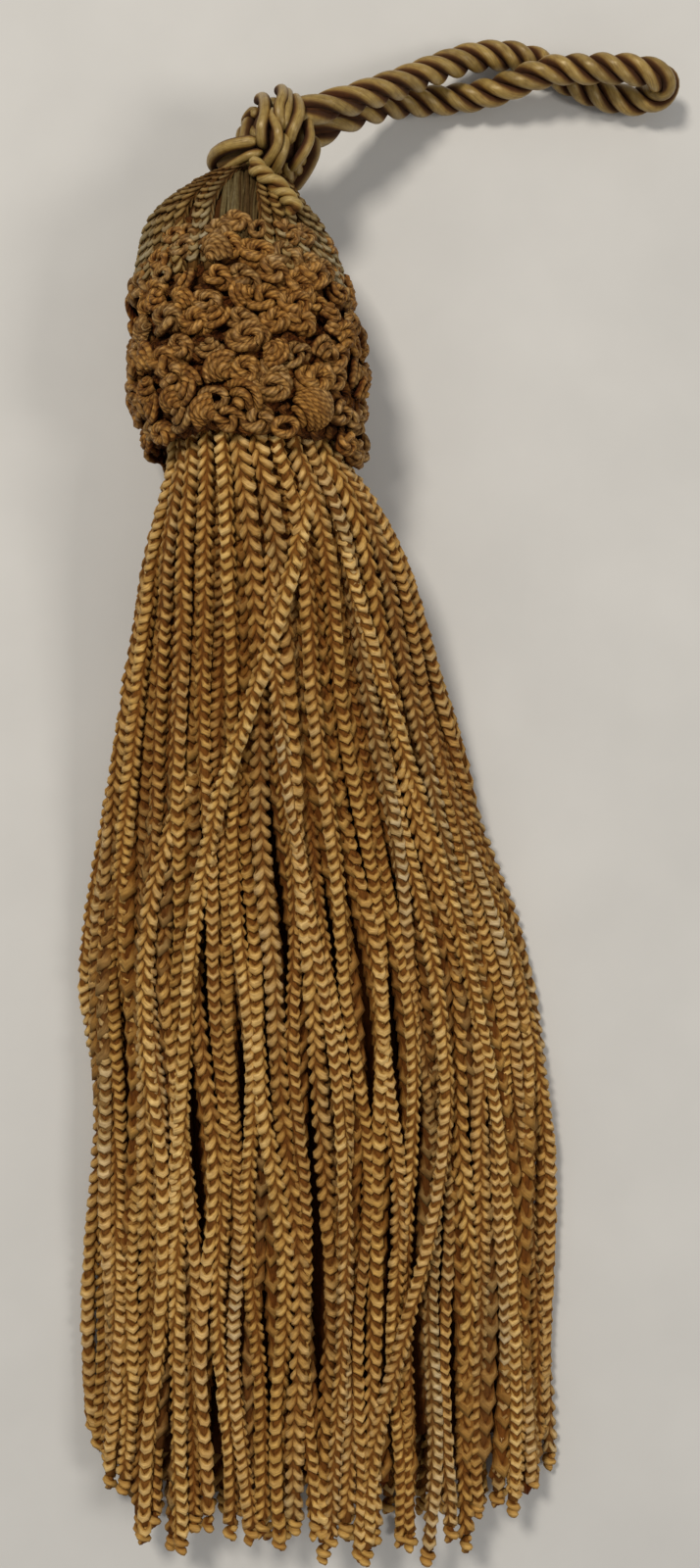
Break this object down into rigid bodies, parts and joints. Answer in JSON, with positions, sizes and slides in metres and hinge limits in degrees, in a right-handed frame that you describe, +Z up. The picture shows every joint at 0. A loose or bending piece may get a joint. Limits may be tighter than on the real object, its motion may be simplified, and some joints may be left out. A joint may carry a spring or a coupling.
{
  "type": "silk tassel",
  "caption": "Chainette tassel lying on its side, with a knotted ruff round its head, a flared skirt of loose strands, and a knotted twisted-rope hanging loop.",
  "frame": {"origin": "centre of the bottom of the box round everything but the hanging loop, on the surface that the tassel lies on", "axes": "+Y from the strands' tips to the crown, +Z up from the surface, +X to the side that the hanging loop lies on"},
  "size_m": [0.0621, 0.157, 0.0236],
  "materials": {
    "strand_silk": "satin chained silk",
    "knotted_silk": "satin chained silk in close knots",
    "rope_silk": "glossy satin rope",
    "pale_thread": "pale satin thread"
  },
  "bodies": {
    "root": {"strand_bundle": "strand_silk", "knotted_ruff": "knotted_silk", "rope_knot": "rope_silk", "hanging_loop": "rope_silk", "tail_cord": "pale_thread"}
  },
  "joints": []
}
